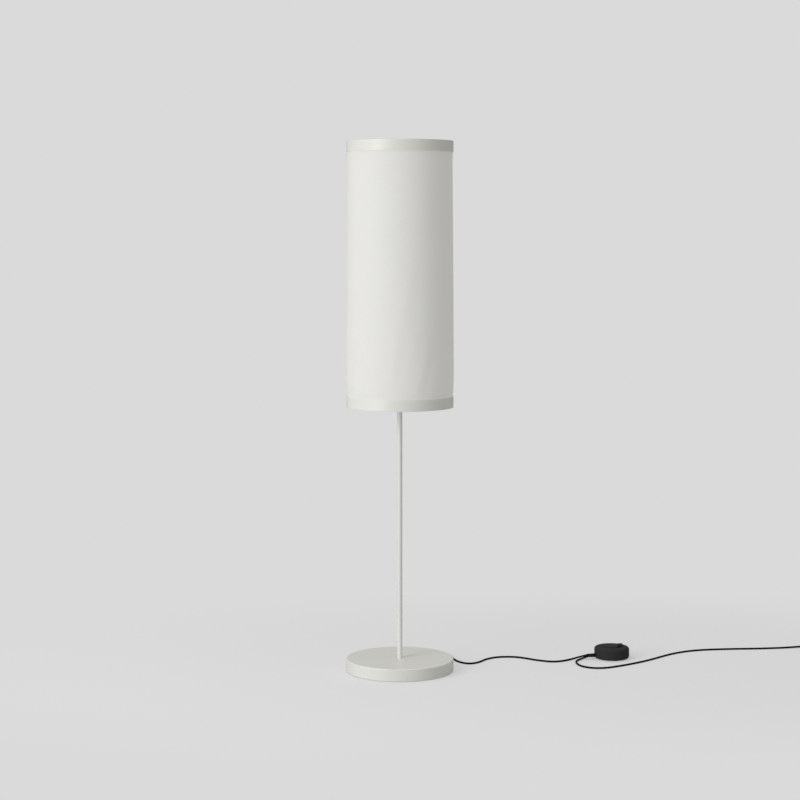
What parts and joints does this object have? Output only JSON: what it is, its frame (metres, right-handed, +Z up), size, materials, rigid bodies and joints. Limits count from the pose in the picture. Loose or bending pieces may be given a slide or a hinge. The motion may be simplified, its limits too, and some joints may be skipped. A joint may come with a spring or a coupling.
{
  "type": "column floor lamp",
  "caption": "Floor lamp: round weighted foot, thin stem, tall cylindrical cloth shade between steel bands, and a dimmer on the cord with a knob in a curved slot.",
  "frame": {"origin": "centre of the foot's underside, on the floor", "axes": "+Z up along the stem; -Y is the front, seen in the picture; the cord lies towards +X"},
  "size_m": [1.3991, 0.4215, 1.38],
  "materials": {
    "painted_steel": "satin fine-textured powder coat, warm off-white",
    "cast_iron": "rough casting",
    "plated_steel": "zinc plated",
    "felt": "dark grey felt",
    "black_rubber": "matt",
    "black_plastic": "fine-textured moulding",
    "black_gloss": "smooth moulding",
    "black_cord": "matt sheath",
    "black_fabric": "woven strap",
    "shade_cloth": "fine plain weave, slightly translucent",
    "white_plastic": "moulded",
    "white_lead": "smooth sheath",
    "opal": "opal diffuser",
    "brass": "nickel-free brass, bright",
    "board": "resin-bonded paper board",
    "board_part": "moulded capacitor case",
    "copper_winding": "enamelled copper winding"
  },
  "bodies": {
    "root": {"band_screws": "plated_steel", "base_clamp_screws": "plated_steel", "base_cord_clamp": "black_plastic", "base_cord_relief": "black_rubber", "base_cover": "painted_steel", "base_pad": "felt", "base_plate": "plated_steel", "base_weight": "cast_iron", "bulb_cap_high": "plated_steel", "bulb_cap_low": "plated_steel", "bulb_globe_high": "opal", "bulb_globe_low": "opal", "bulb_neck_high": "white_plastic", "bulb_neck_low": "white_plastic", "coil_tie": "black_fabric", "cord_coil": "black_cord", "cord_tail": "black_cord", "cord_to_dimmer": "black_cord", "cord_to_plug": "black_cord", "dimmer_base": "black_plastic", "dimmer_board": "board", "dimmer_capacitor": "board_part", "dimmer_choke": "copper_winding", "dimmer_clamp": "black_plastic", "dimmer_cover": "black_plastic", "dimmer_feet": "black_rubber", "dimmer_leads": "black_cord", "dimmer_reliefs": "black_rubber", "dimmer_screws": "plated_steel", "dimmer_terminals": "white_plastic", "dimmer_track": "board", "finial_nut": "painted_steel", "holder_leads": "white_lead", "holder_nipples": "plated_steel", "holder_nuts": "plated_steel", "inner_lead": "black_cord", "lamp_arm_high": "painted_steel", "lamp_arm_low": "painted_steel", "lampholder_high": "white_plastic", "lampholder_low": "white_plastic", "plate_screws": "plated_steel", "plug_body": "black_plastic", "plug_pins": "brass", "plug_relief": "black_rubber", "set_screws": "plated_steel", "shade_band_bottom": "painted_steel", "shade_band_top": "painted_steel", "shade_collar": "painted_steel", "shade_fabric": "shade_cloth", "shade_frame_bottom": "painted_steel", "shade_frame_top": "painted_steel", "socket_contacts": "brass", "stem_nut": "plated_steel", "stem_stud": "plated_steel", "stem_top_stud": "plated_steel", "stem_tube": "painted_steel", "stem_washer": "plated_steel"},
    "dimmer_slider": {"dimmer_carrier": "black_plastic", "dimmer_knob": "black_gloss", "dimmer_wiper": "brass"}
  },
  "joints": [
    {"name": "dimmer_slide", "type": "hinge", "parent": "root", "child": "dimmer_slider", "pos_m": [0.5683, 0.144, 0], "axis": [0, 0, 1], "range_deg": [-140, 0]}
  ]
}
